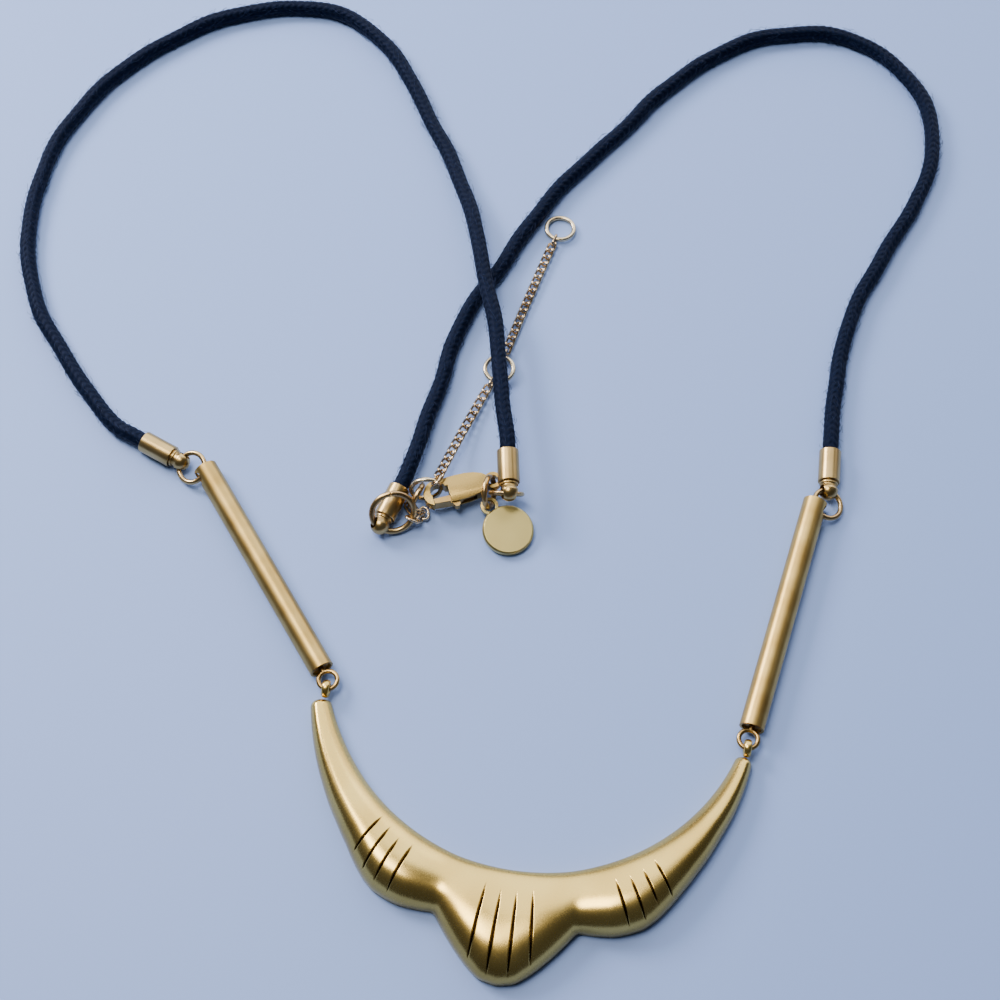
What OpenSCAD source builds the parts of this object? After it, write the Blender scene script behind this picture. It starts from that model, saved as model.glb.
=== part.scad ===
// Cord necklace with a scalloped crescent pendant, lying on a flat surface.
// Sizes are in millimetres. X runs across the pendant, +Y runs from the pendant towards the clasp,
// +Z is up, and the surface is at Z = 0. The origin is on the pendant's flat back.

/* [Pendant] */
// Radius of the crescent's inner edge
inner_r = 31.2; // [29:0.1:33]
// Half of the angle that the crescent spans
span_a = 72.4; // [70:0.2:73]
// Height of the crown over the lobes
crown_h = 4.8; // [3.8:0.1:5.5]
// Height of the upright rim round the flat back
rim_h = 0.9; // [0.6:0.1:1.2]
// Depth of the engraved grooves
groove_d = 0.35; // [0.2:0.05:0.5]
// Width of the engraved grooves
groove_w = 0.45; // [0.3:0.05:0.6]

/* [Tubes] */
// Length of each tube
tube_l = 38.6; // [36:0.1:40]
// Outer radius of each tube
tube_r = 1.85; // [1.7:0.05:2]
// Wall of each tube
tube_wall = 0.35; // [0.3:0.05:0.4]

/* [Cords] */
// Diameter of each braided cord
cord_d = 2.6; // [2.2:0.1:2.7]

/* [End caps] */
// Length of an end cap's barrel
barrel_l = 5.4; // [5:0.1:6]
// Outer radius of an end cap's barrel
barrel_r = 1.7; // [1.6:0.05:1.8]
// Radius of an end cap's bell
bell_r = 1.5; // [1.4:0.05:1.6]

/* [Rings] */
// Centreline radius of the small jump rings on the end caps
jump_r = 2.3; // [2.3:0.05:2.4]
// Wire radius of the small jump rings
jump_wire = 0.4; // [0.35:0.01:0.41]
// Wire radius of the thick jump rings at the clasp
thick_wire = 0.46; // [0.4:0.02:0.5]

/* [Extender] */
// Wire radius of the chain links
link_wire = 0.17; // [0.15:0.01:0.18]
// Centreline radius of the extender's rings
ext_r = 2.25; // [2.2:0.05:2.3]

/* [Clasp and tag] */
// Length of the lobster clasp's body, from the tail eye's centre to its nose
clasp_l = 11; // [10:0.1:12]
// Thickness of the lobster clasp at its middle
clasp_t = 2.6; // [2.2:0.1:3]
// Radius of the round tag
tag_r = 3.95; // [3.5:0.05:4.2]
// Thickness of the round tag
tag_t = 1.2; // [1:0.1:1.5]

/* [Hidden] */

brass = "#c79a55";
worn_brass = "#a8804a";
rose_brass = "#c9956b";
cord_blue = "#141a26";
round_n = 32;
wire_n = 24;

// PENDANT
// The crescent is drawn in polar form about the centre of its inner edge, with angles from
// straight down. Each row of OUTLINE is one place along the outer edge of one half.
// Columns: angle, outer radius, height of the crown
pendant_y = 39.5;
OUTLINE = [
    [0, 47.8, 1.0], [3.2, 47.3, 1.0], [5.6, 46.0, 0.99], [8.5, 44.2, 0.96], [11.3, 42.4, 0.9],
    [13.8, 40.8, 0.83], [14.8, 40.2, 0.81], [17, 40.7, 0.85], [19, 41.1, 0.9], [21.7, 41.6, 0.96],
    [24.7, 41.8, 0.99], [27.7, 41.8, 1.0], [30.5, 41.3, 1.0], [34, 40.4, 0.98], [38, 39.3, 0.95],
    [43, 38.2, 0.9], [52, 36.6, 0.8], [63, 35.1, 0.66], [73, 33.8, 0.5]];
// Columns: angle of the groove, where it starts and where it ends between the inner and outer edge
GROOVES = [[-35, 0.22, 0.92], [-31.5, 0.24, 0.95], [-28.1, 0.27, 0.92], [-24.7, 0.22, 0.95],
    [-5.5, 0.19, 0.95], [-1.8, 0.21, 0.96], [1.8, 0.2, 0.96], [5.5, 0.2, 0.93],
    [24.7, 0.28, 0.95], [28.1, 0.31, 0.94], [31.5, 0.31, 0.86], [35, 0.28, 0.93]];
PLAIN_ANGLES = [0, 3.7, 7.5, 9.5, 11.3, 13, 14, 14.8, 15.8, 17.3, 19.3, 21.2, 23, 26.4, 29.8, 33.2,
    37, 39.2, 42, 45, 48.5, 52, 56, 60, 64, 68, span_a];
across_n = 14;
crest_at = 0.62;
crown_power = 0.6;
// Height of the upright wall along the inner edge, as a share of the crown
inner_wall = 0.35;
inner_drop = 0.4;
// The arms aren't quite alike: the left one stands further out and its tip turns outwards
left_out = 0.35;
right_out = -0.2;
tip_out = 0.55;
groove_half_a = groove_w / 2 / 38 * 180 / PI;
groove_start = 0.1;
groove_end = 0.04;
lean_a = 1.7;
lean_mid = 30;
lean_width = 8;
eye_hole_r = 0.62;
eye_r = 1.35;
eye_w = 1.15;
eye_x = 31.1;
eye_y = 30.75;
eye_z = 1.85;

function sorted(v) = len(v) < 2 ? v :
    let(p = v[0], low = [for (x = v) if (x < p) x], high = [for (x = v) if (x > p) x])
    concat(sorted(low), [p], sorted(high));
half_angles = sorted(concat(PLAIN_ANGLES,
    [for (g = GROOVES, k = [-1, 0, 1]) if (g[0] > 0) g[0] + k * groove_half_a]));
station_angles = concat([for (i = [len(half_angles) - 1:-1:1]) -half_angles[i]], half_angles);

function ramp(x) = min(1, max(0, x));
function tip_bend(a) = tip_out * pow(ramp((-a - 48) / 24), 2);
function inner_radius(a) = inner_r + inner_drop * cos(a) + tip_bend(a);
function outer_radius(a) = lookup(abs(a), [for (row = OUTLINE) [row[0], row[1]]])
    + (a < 0 ? left_out : right_out) * ramp((abs(a) - 38) / 14) + tip_bend(a);
function crown_height(a) = crown_h * lookup(abs(a), [for (row = OUTLINE) [row[0], row[2]]]);
// Fraction of the way from the inner edge to the outer edge, closer together at the outer edge
function across(j) = sin(90 * j / across_n);
// Height over the rim, from the inner wall up to the crest and down to the outer rim
function crown_rise(a, t) = t < crest_at ?
    let(wall = inner_wall * crown_height(a))
    wall + (crown_height(a) - wall) * pow(sin(90 * t / crest_at), crown_power) :
    rim_h + (crown_height(a) - rim_h) * sqrt(max(0, 1 - pow((t - crest_at) / (1 - crest_at), 2)));
// The grooves on the left arm lean outwards at the top
function lean(a, t) = a > 0 ? 0 :
    -lean_a * exp(-pow((a + lean_mid) / lean_width, 2)) * (0.6 - t);
function groove_row(a) = [for (g = GROOVES) if (abs(a - g[0]) < 0.001) g];
function groove_cut(a, t) = let(g = groove_row(a)) len(g) == 0 ? 0 :
    groove_d * ramp((t - g[0][1]) / groove_start) * ramp((g[0][2] - t) / groove_end);
function pendant_point(a, t, z) =
    let(angle = a + lean(a, t),
        r = inner_radius(angle) + t * (outer_radius(angle) - inner_radius(angle)))
    [r * sin(angle), pendant_y - r * cos(angle), z];
function surface_point(a, t) = pendant_point(a, t, crown_rise(a, t) - groove_cut(a, t));

module pendant_body() {
    n = len(station_angles);
    row = across_n + 3;
    points = [for (a = station_angles)
        each concat([pendant_point(a, 0, 0)],
            [for (j = [0:across_n]) surface_point(a, across(j))],
            [pendant_point(a, 1, 0)])];
    sides = [for (i = [0:n - 2], k = [0:row - 1])
        [i * row + k, (i + 1) * row + k, (i + 1) * row + (k + 1) % row, i * row + (k + 1) % row]];
    first_cap = [for (k = [0:row - 1]) k];
    last_cap = [for (k = [row - 1:-1:0]) (n - 1) * row + k];
    polyhedron(points = points, faces = concat(sides, [first_cap, last_cap]), convexity = 8);
}

// Each tip ends in an upright eye, whose hole runs across the pendant
module pendant_eye(side) {
    translate([side * eye_x, eye_y, eye_z])
        rotate([0, 90, 0])
            difference() {
                cylinder(r = eye_r, h = eye_w, center = true, $fn = round_n);
                cylinder(r = eye_hole_r, h = eye_w + 1, center = true, $fn = round_n);
            }
}

module pendant() {
    color(brass) {
        pendant_body();
        pendant_eye(-1);
        pendant_eye(1);
    }
}

// GENERAL PIECES
module ring(r, wire) {
    rotate_extrude($fn = 48) translate([r, 0]) circle(r = wire, $fn = wire_n);
}

// TUBES
// A tube runs from its open mouth at local X = 0. One round hole goes through the wall on the
// local +Z side near the mouth, and the lower end has a closed plug with a ring eye.
tube_z = 1.85;
tube_hole_r = 1.15;
tube_hole_x = 1.4;
tube_gap = 0.05;
recess = 0.4;
plug_l = 2;
stem_r = 0.5;
tube_eye_r = 1.4;
tube_eye_wire = 0.36;
tube_eye_y = eye_y + tube_eye_r;
MOUTH_LEFT = [-56.4, 63.8];
MOUTH_RIGHT = [37.66, 72];
turn_left = 86.3;
turn_right = -94.2;
function heading(from, to) = atan2(to[1] - from[1], to[0] - from[0]);
heading_left = heading(MOUTH_LEFT, [-eye_x, tube_eye_y]);
heading_right = heading(MOUTH_RIGHT, [eye_x, tube_eye_y]);

module tube(mouth, head, turn) {
    color(brass)
        translate([mouth[0], mouth[1], tube_z])
            rotate([0, 0, head])
                rotate([turn, 0, 0])
                    difference() {
                        rotate([0, 90, 0])
                            difference() {
                                cylinder(r = tube_r, h = tube_l, $fn = 48);
                                translate([0, 0, -1])
                                    cylinder(r = tube_r - tube_wall, h = tube_l + 2, $fn = 48);
                            }
                        translate([tube_hole_x, 0, 0]) cylinder(r = tube_hole_r, h = 3, $fn = round_n);
                    }
}

module tube_eye(side, mouth, head) {
    color(worn_brass)
        translate([side * eye_x, tube_eye_y, tube_z]) {
            ring(tube_eye_r, tube_eye_wire);
            rotate([0, 0, head])
                rotate([0, -90, 0]) {
                    far = norm([side * eye_x - mouth[0], tube_eye_y - mouth[1]]) - tube_l;
                    translate([0, 0, tube_eye_r])
                        cylinder(r = stem_r, h = far + recess - tube_eye_r + 0.5, $fn = wire_n);
                    translate([0, 0, far + recess])
                        cylinder(r = tube_r - tube_wall - tube_gap, h = plug_l, $fn = 48);
                }
        }
}

// END CAPS
// An end cap runs from its mouth at local X = 0: barrel, groove, bead, groove and a bell with a
// round end. The cord goes in as deep as the blind bore, and a hole along local Y crosses the bell.
bore_r = cord_d / 2 + 0.05;
bore_l = 3.4;
cap_hole_x = 7.1;
cap_hole_r = 0.9;
neck_r = 1.2;
bead_r = 1.42;
bell_x = 6.85;
chamfer = 0.08;
CAP_PROFILE = concat(
    [[0, 0], [barrel_r - chamfer, 0], [barrel_r, chamfer], [barrel_r, barrel_l - chamfer],
        [barrel_r - chamfer, barrel_l], [neck_r, barrel_l], [neck_r, barrel_l + 0.15],
        [bead_r, barrel_l + 0.22], [bead_r, barrel_l + 0.42], [neck_r, barrel_l + 0.5],
        [neck_r, barrel_l + 0.7], [bell_r, barrel_l + 1.3]],
    [for (a = [0:10:90]) [bell_r * cos(a), bell_x + bell_r * sin(a)]]);

// Each row places an end cap. Columns: mouth, heading, dip of the bell end, roll,
// angle at which the ring in its cross hole leaves it
FRONT_LEFT = [[-66.86, 67.02, 1.72], -21.8, 0, 27.4, 9];
FRONT_RIGHT = [[39.3, 81.06, 1.72], -88.1, 0, -21.9, -1];
BACK_LEFT = [[-10.18, 71.84, 5.51], -79.6, 2.7, -11.4, -112];
BACK_RIGHT = [[-25.99, 64.76, 2.06], -106, 1.7, -40, 141.1];

module at_cap(row) {
    translate(row[0])
        rotate([0, 0, row[1]])
            rotate([0, row[2], 0])
                rotate([row[3], 0, 0])
                    children();
}

module cap(row) {
    color(brass)
        at_cap(row)
            difference() {
                rotate([0, 90, 0]) rotate_extrude($fn = 48) polygon(CAP_PROFILE);
                rotate([0, 90, 0]) translate([0, 0, -1]) cylinder(r = bore_r, h = bore_l + 1, $fn = 40);
                translate([cap_hole_x, 0, 0])
                    rotate([90, 0, 0]) cylinder(r = cap_hole_r, h = 4, center = true, $fn = round_n);
            }
}

// A ring that hangs through a cap's cross hole
module ring_in_cap(row, r, wire) {
    sag = r - sqrt(r * r - bell_r * bell_r);
    color(worn_brass)
        at_cap(row)
            translate([cap_hole_x, 0, 0])
                rotate([0, -row[4], 0])
                    translate([r - sag / 2, 0, 0])
                        ring(r, wire);
}
cap_ring_r = 2.45;
cap_ring_wire = 0.36;
back_r = 3.25;
back_wire = 0.47;

// CORDS
// Each route is the centreline of a cord, from its front end cap to its back end cap.
// Columns: X, Y, height of the centreline
rest_z = cord_d / 2 + 0.02;
ROUTE_LEFT = [
    [-72.4, 69.7, rest_z], [-79.0, 75.8, rest_z], [-85.4, 83.2, rest_z], [-89.9, 89.5, rest_z],
    [-93.0, 96.5, rest_z], [-95.0, 105, rest_z], [-95.3, 114.5, rest_z], [-93.4, 124, rest_z],
    [-89.4, 133.5, rest_z], [-83.4, 141.5, rest_z], [-75.9, 148.3, rest_z], [-68, 152.8, rest_z],
    [-60.8, 155, rest_z], [-53.8, 155.2, rest_z], [-47.6, 152.9, rest_z], [-42, 148.2, rest_z],
    [-37, 141.9, rest_z], [-32.6, 134.6, rest_z], [-28.4, 127.5, 1.7], [-24.7, 120.4, 2.6],
    [-21.5, 112.7, 3.7], [-18.9, 104.3, 4.4], [-16.4, 96.8, 4.8], [-14.1, 88.9, 5.1],
    [-12.4, 81, 5.4]];
ROUTE_RIGHT = [
    [39.3, 91.7, rest_z], [39.9, 101, rest_z], [41.7, 109.6, rest_z], [44.9, 118.2, rest_z],
    [48.9, 127.5, rest_z], [51.5, 136.5, rest_z], [51.7, 145.3, rest_z], [48.6, 153.5, rest_z],
    [42.2, 159.9, rest_z], [34.8, 162.7, rest_z], [27.3, 162.4, rest_z], [19.4, 159.6, rest_z],
    [12, 153.8, rest_z], [5.7, 146.4, rest_z], [0.6, 138.8, rest_z], [-4.4, 131.3, rest_z],
    [-9, 124.3, rest_z], [-12.8, 116.6, rest_z], [-16.5, 107.6, rest_z], [-20, 99.6, rest_z],
    [-21.9, 91.8, rest_z], [-22.9, 83.9, 1.45], [-24.1, 75.3, 1.9]];
cord_sides = 8;
lead = 2.5;

// A point on a cap's axis at a distance behind its mouth
function behind(row, dist) = row[0] - dist * [cos(row[1]) * cos(row[2]),
    sin(row[1]) * cos(row[2]), -sin(row[2])];
function unit(v) = v / norm(v);
// A point halfway between two route points, on the smooth curve through their neighbours
function halfway(p, i) = (9 * (p[i] + p[i + 1]) - p[i - 1] - p[i + 2]) / 16;
function cord_line(start_row, route, end_row) =
    let(p = concat([behind(start_row, -bore_l), behind(start_row, 0), behind(start_row, lead)],
            route, [behind(end_row, lead), behind(end_row, 0), behind(end_row, -bore_l)]),
        n = len(p))
    concat([p[0], p[1], p[2]], [for (i = [2:n - 4]) each [halfway(p, i), p[i + 1]]],
        [p[n - 2], p[n - 1]]);

module cord(start_row, route, end_row) {
    line = cord_line(start_row, route, end_row);
    n = len(line);
    points = [for (i = [0:n - 1])
        let(along = unit(line[min(n - 1, i + 1)] - line[max(0, i - 1)]),
            side = unit(cross([0, 0, 1], along)),
            up = cross(along, side))
        for (k = [0:cord_sides - 1])
            let(a = (k + 0.5) * 360 / cord_sides)
            line[i] + cord_d / 2 * (cos(a) * side + sin(a) * up)];
    faces = concat([[for (k = [0:cord_sides - 1]) k]],
        [for (i = [0:n - 2], k = [0:cord_sides - 1])
            let(q = (k + 1) % cord_sides)
            [i * cord_sides + k, (i + 1) * cord_sides + k, (i + 1) * cord_sides + q,
                i * cord_sides + q]],
        [[for (k = [cord_sides - 1:-1:0]) (n - 1) * cord_sides + k]]);
    color(cord_blue) polyhedron(points = points, faces = faces, convexity = 6);
}

// THICK RING AT THE CLASP
// It stands almost upright and holds the clasp, the tag and the small ring of the back left cap
clasp_ring_r = 2.3;
clasp_ring_at = [-12.13, 65.72, 2.82];
clasp_ring_yaw = -2.6;
clasp_ring_lean = 74.7;
module ring_clasp() {
    color(brass)
        translate(clasp_ring_at)
            rotate([0, 0, clasp_ring_yaw])
                rotate([0, clasp_ring_lean, 0])
                    ring(clasp_ring_r, thick_wire);
}

// TAG
// A disc with an eye on its rim, resting on its far edge. Local X runs from the eye to the disc.
tag_eye_at = [-11.83, 63.82, 1.75];
tag_heading = -44.2;
tag_dip = 7.9;
tag_eye_r = 1.36;
tag_eye_hole_r = 0.92;
tag_eye_t = 0.7;
tag_reach = 4.75;
tag_rim = 0.25;
module tag() {
    color(brass)
        translate(tag_eye_at)
            rotate([0, 0, tag_heading])
                rotate([0, tag_dip, 0])
                    difference() {
                        union() {
                            cylinder(r = tag_eye_r, h = tag_eye_t, center = true, $fn = 40);
                            translate([tag_reach, 0, 0])
                                rotate_extrude($fn = 64)
                                    polygon([[0, -tag_t / 2], [tag_r - tag_rim, -tag_t / 2],
                                        [tag_r, tag_rim - tag_t / 2], [tag_r, tag_t / 2 - tag_rim],
                                        [tag_r - tag_rim, tag_t / 2], [0, tag_t / 2]]);
                        }
                        cylinder(r = tag_eye_hole_r, h = 3, center = true, $fn = round_n);
                    }
}

// LOBSTER CLASP
// Local X runs from the tail eye to the nose, and the gate is on the local +Y side.
clasp_at = [-11.89, 67.85, 2.45];
clasp_heading = 204.5;
nose_r = 2.1;
nose_x = clasp_l - nose_r;
// Columns: X, half width on the gate side, half width on the hook side
CLASP_WIDTHS = [[0.9, 0.85, 0.85], [1.5, 1.3, 1.35], [2.6, 1.8, 1.85], [4, 2.05, 2.15],
    [5.5, 2.1, 2.2], [7.2, 2.05, 2.15]];
claw_open_r = 1.3;
claw_open_x = 8.6;
claw_open_y = -0.25;
gate_face_y = 0.95;
gate_gap_x = 7.05;
claw_tip_x = 9.75;
slot_h = 1.3;
lever_h = 1.2;
gate_h = 2.1;
pivot = [5.6, 1.1];
pin_r = 0.4;
pin_gap = 0.05;
boss_r = 0.85;
knob_r = 0.5;
knob_at = [6.35, 2.35];
gate_outer_y = 1.95;
top_round_r = 6.5;
end_round_r = 42;

module clasp_outline() {
    polygon(concat([for (row = CLASP_WIDTHS) [row[0], row[1]]],
        [for (a = [80:-10:-80]) [nose_x + nose_r * cos(a), nose_r * sin(a)]],
        [for (i = [len(CLASP_WIDTHS) - 1:-1:0]) [CLASP_WIDTHS[i][0], -CLASP_WIDTHS[i][2]]]));
}

module in_clasp() {
    translate(clasp_at) rotate([0, 0, clasp_heading]) children();
}

module clasp_body() {
    color(brass)
        in_clasp() {
            difference() {
                union() {
                    intersection() {
                        linear_extrude(height = clasp_t, center = true) clasp_outline();
                        translate([-2, 0, clasp_t / 2 - top_round_r])
                            rotate([0, 90, 0]) cylinder(r = top_round_r, h = 16, $fn = 96);
                        translate([-2, 0, top_round_r - clasp_t / 2])
                            rotate([0, 90, 0]) cylinder(r = top_round_r, h = 16, $fn = 96);
                        translate([4.5, 0, clasp_t / 2 - end_round_r])
                            rotate([90, 0, 0]) cylinder(r = end_round_r, h = 10, center = true, $fn = 200);
                        translate([4.5, 0, end_round_r - clasp_t / 2])
                            rotate([90, 0, 0]) cylinder(r = end_round_r, h = 10, center = true, $fn = 200);
                    }
                    cylinder(r = 1.35, h = 1.2, center = true, $fn = 40);
                }
                cylinder(r = 0.8, h = 4, center = true, $fn = round_n);
                translate([claw_open_x, claw_open_y, 0])
                    cylinder(r = claw_open_r, h = 4, center = true, $fn = 40);
                translate([gate_gap_x, claw_open_y - 0.5, -2]) cube([claw_open_x - gate_gap_x, 2, 4]);
                translate([gate_gap_x, gate_face_y - 0.6, -2]) cube([claw_tip_x - gate_gap_x, 3, 4]);
                translate([3, 0.1, -slot_h / 2]) cube([5, 3, slot_h]);
            }
            translate([pivot[0], pivot[1], 0])
                cylinder(r = pin_r, h = slot_h + 0.4, center = true, $fn = round_n);
        }
}

// The lever turns on the pin. Its arm closes the claw and its knob stands out of the side.
module clasp_lever() {
    color(worn_brass)
        in_clasp()
            difference() {
                union() {
                    translate([pivot[0], pivot[1], 0])
                        cylinder(r = boss_r, h = lever_h, center = true, $fn = 40);
                    translate([knob_at[0], knob_at[1], 0])
                        cylinder(r = knob_r, h = lever_h, center = true, $fn = round_n);
                    linear_extrude(height = lever_h, center = true)
                        polygon([[pivot[0], 0.6], [7.3, gate_face_y], [7.3, gate_outer_y], [6.8, 2.3],
                            [pivot[0], 2.05]]);
                    linear_extrude(height = lever_h, center = true)
                        polygon([[3.4, 1.1], [pivot[0], 0.9], [pivot[0], 1.8], [3.4, 1.6]]);
                    linear_extrude(height = gate_h, center = true)
                        polygon([[7.15, gate_face_y], [9.65, gate_face_y], [9.65, 1.7],
                            [7.15, gate_outer_y]]);
                }
                translate([pivot[0], pivot[1], 0])
                    cylinder(r = pin_r + pin_gap, h = 3, center = true, $fn = round_n);
            }
}

// EXTENDER
// The inner ring goes round the claw, so it is placed in the clasp's frame.
ext_wire = 0.37;
ext_flat = 0.33;
claw_cross = [8.15, -0.77, 0.62];
inner_turn = -12.7;
inner_tilt = 77.6;
inner_hang = 226;
link_half = 0.38;
end_link_r = 0.63;
first_link_r = 0.7;
end_link_z = 0.8;
middle_at = [-14, 88.6, end_link_z];
end_tilt = 5;
end_at = [-8, 116.6, 0.6];

// A round ring with small flats inside and outside
module flat_ring() {
    rotate_extrude($fn = 64)
        translate([ext_r, 0])
            intersection() {
                circle(r = ext_wire + 0.03, $fn = wire_n);
                square([2 * ext_flat, 2 * ext_wire], center = true);
            }
}

module in_inner_ring() {
    in_clasp()
        translate(claw_cross)
            rotate([0, 0, inner_turn])
                rotate([-inner_tilt, 0, 0])
                    translate([ext_r, 0, 0])
                        children();
}

module extender_ring_inner() {
    color(rose_brass) in_inner_ring() flat_ring();
}

module extender_ring_middle() {
    color(rose_brass) translate(middle_at) flat_ring();
}

// The end ring lies with its chain side raised
module extender_ring_end() {
    color(rose_brass)
        translate(end_at)
            rotate([0, 0, heading(outer_mid, end_at)])
                rotate([0, end_tilt, 0])
                    flat_ring();
}

// The small ring that joins the starting links to the inner extender ring
chain_ring_r = 1.9;
chain_ring_wire = 0.41;
chain_ring_at = [-23.21, 63.72, 2.33];
chain_ring_yaw = 161.1;
chain_ring_lean = 72.7;
module ring_chain() {
    color(brass)
        translate(chain_ring_at)
            rotate([0, 0, chain_ring_yaw])
                rotate([0, chain_ring_lean, 0])
                    ring(chain_ring_r, chain_ring_wire);
}

// CHAIN
// A link is a tube along a stadium: two half circles of radius r joined by straights of twice the
// half length, and a curb link is twisted so that it lies flat in the chain.
link_r = 0.58;
link_twist = -0.31;
link_steps = 12;
link_sides = 6;
end_link_gap = 1.42;

function link_point(half, r, twist, t) =
    [sign(cos(t)) * half + r * cos(t), r * sin(t), twist * sin(2 * t)];

module link(half, r, twist) {
    step = 360 / link_steps;
    line = [for (i = [0:link_steps - 1]) link_point(half, r, twist, (i + 0.5) * step)];
    points = [for (i = [0:link_steps - 1])
        let(along = unit(line[(i + 1) % link_steps] - line[(i + link_steps - 1) % link_steps]),
            side = unit(cross([0, 0, 1], along)),
            up = cross(along, side))
        for (k = [0:link_sides - 1])
            let(a = (k + 0.5) * 360 / link_sides)
            line[i] + link_wire * (cos(a) * side + sin(a) * up)];
    faces = [for (i = [0:link_steps - 1], k = [0:link_sides - 1])
        let(j = (i + 1) % link_steps, q = (k + 1) % link_sides)
        [i * link_sides + k, j * link_sides + k, j * link_sides + q, i * link_sides + q]];
    polyhedron(points = points, faces = faces, convexity = 4);
}

// The starting links lie in a loose bunch between the back ring and the small ring.
// Columns: place of the link, heading, dip, roll, radius of its ends
START_LINKS = [
    [[-23.09, 59.87, 1.89], -8.4, 15.1, -49.8, 0.72],
    [[-22.1, 60.47, 1.03], 53.5, 37.3, 75.2, 0.62],
    [[-21.64, 61.67, 0.72], 109.1, -0.1, 1.1, 0.62],
    [[-22.59, 61.71, 0.93], 181.4, -7.5, 85.6, 0.62],
    [[-23.74, 62.08, 1.13], 134.2, -21.4, -20.9, 0.72]];
module chain_start() {
    color(rose_brass)
        for (row = START_LINKS)
            translate(row[0])
                rotate([0, 0, row[1]])
                    rotate([0, row[2], 0])
                        rotate([row[3], 0, 0])
                            link(link_half, row[4], 0);
}

// A chain follows a curve with one control point. An upright plain link at each end holds a ring.
function bend(p, u) = (1 - u) * (1 - u) * p[0] + 2 * u * (1 - u) * p[1] + u * u * p[2];
function bend_dir(p, u) = unit((1 - u) * (p[1] - p[0]) + u * (p[2] - p[1]));
// Rows of the distance run along the curve and the place on it
function run_table(p) =
    let(steps = 80, v = [for (i = [0:steps]) bend(p, i / steps)])
    [for (i = 0, s = 0; i <= steps; s = s + (i < steps ? norm(v[i + 1] - v[i]) : 0), i = i + 1)
        [s, i / steps]];

module on_curve(p, runs, distance, turn) {
    u = lookup(distance, runs);
    d = bend_dir(p, u);
    translate(bend(p, u))
        rotate([0, 0, atan2(d[1], d[0])])
            rotate([0, -asin(d[2]), 0])
                rotate([turn, 0, 0])
                    children();
}

module chain(p, count, first_r, first_turn) {
    runs = run_table(p);
    length = runs[len(runs) - 1][0];
    first = link_half + end_link_gap;
    pitch = (length - 2 * first) / (count - 1);
    color(rose_brass) {
        on_curve(p, runs, link_half, first_turn) link(link_half, first_r, 0);
        for (i = [0:count - 1])
            on_curve(p, runs, first + i * pitch, 0) link(link_half, link_r, link_twist);
        on_curve(p, runs, length - link_half, 90) link(link_half, end_link_r, 0);
    }
}

function polar(c, r, a) = [c[0] + r * cos(a), c[1] + r * sin(a), c[2]];
function turned(v, a) = [v[0] * cos(a) - v[1] * sin(a), v[0] * sin(a) + v[1] * cos(a), v[2]];
inner_top = clasp_at + turned(claw_cross + turned(ext_r * [1 + cos(inner_hang),
    sin(inner_hang) * cos(inner_tilt), -sin(inner_hang) * sin(inner_tilt)], inner_turn), clasp_heading);
inner_mid = [-18.6, 75.5, 0.6];
inner_first_turn = -50;
INNER_CURVE = [inner_top, inner_mid, polar(middle_at, -ext_r, heading(inner_mid, middle_at))];
outer_mid = [-11.6, 101.5, 0.55];
OUTER_CURVE = [polar(middle_at, ext_r, heading(middle_at, outer_mid)), outer_mid,
    polar([end_at[0], end_at[1], end_link_z], -ext_r, heading(outer_mid, end_at))];

// One call for each node
pendant();
tube(MOUTH_LEFT, heading_left, turn_left);  // tube_left
tube(MOUTH_RIGHT, heading_right, turn_right);  // tube_right
tube_eye(-1, MOUTH_LEFT, heading_left);  // tube_eye_left
tube_eye(1, MOUTH_RIGHT, heading_right);  // tube_eye_right
ring_in_cap(FRONT_LEFT, jump_r, jump_wire);  // ring_front_left
ring_in_cap(FRONT_RIGHT, jump_r, jump_wire);  // ring_front_right
cap(FRONT_LEFT);  // cap_front_left
cap(FRONT_RIGHT);  // cap_front_right
cap(BACK_LEFT);  // cap_back_left
cap(BACK_RIGHT);  // cap_back_right
cord(FRONT_LEFT, ROUTE_LEFT, BACK_LEFT);  // cord_left
cord(FRONT_RIGHT, ROUTE_RIGHT, BACK_RIGHT);  // cord_right
ring_in_cap(BACK_LEFT, cap_ring_r, cap_ring_wire);  // ring_cap
ring_clasp();
ring_in_cap(BACK_RIGHT, back_r, back_wire);  // ring_back
tag();
clasp_body();
clasp_lever();
ring_chain();
extender_ring_inner();
extender_ring_middle();
extender_ring_end();
chain_start();
chain(INNER_CURVE, 14, first_link_r, inner_first_turn);  // chain_inner
chain(OUTER_CURVE, 16, end_link_r, 90);  // chain_outer
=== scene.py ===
# %% [markdown]
# # A cord necklace, dressed around its frame
# The frame holds every hard piece of the necklace at its real size and place: the pendant, the tubes,
# the end caps, the rings, the clasp and the chain. This lesson gives them the surfaces that the eye
# sees: cast and worn plating, brushed tube, drawn wire and braided cotton.
#
# Sizes are in millimetres and angles in degrees. MM turns millimetres into the metres that Blender
# works in.

# %% Load the frame
import math
import random

import bmesh
import bpy
import numpy as np
from mathutils import Matrix, Vector


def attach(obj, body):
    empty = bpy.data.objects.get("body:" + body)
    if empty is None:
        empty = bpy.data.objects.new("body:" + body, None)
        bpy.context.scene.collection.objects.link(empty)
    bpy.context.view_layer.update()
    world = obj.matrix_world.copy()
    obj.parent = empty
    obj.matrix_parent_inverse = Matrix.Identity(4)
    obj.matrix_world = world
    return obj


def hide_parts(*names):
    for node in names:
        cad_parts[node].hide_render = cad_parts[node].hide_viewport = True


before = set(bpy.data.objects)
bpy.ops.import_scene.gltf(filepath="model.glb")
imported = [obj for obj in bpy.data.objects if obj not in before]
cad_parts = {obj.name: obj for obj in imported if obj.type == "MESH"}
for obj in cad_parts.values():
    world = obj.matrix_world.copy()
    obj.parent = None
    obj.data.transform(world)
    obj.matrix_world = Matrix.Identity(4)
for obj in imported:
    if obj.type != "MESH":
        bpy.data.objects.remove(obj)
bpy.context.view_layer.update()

MM = 0.001

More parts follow.
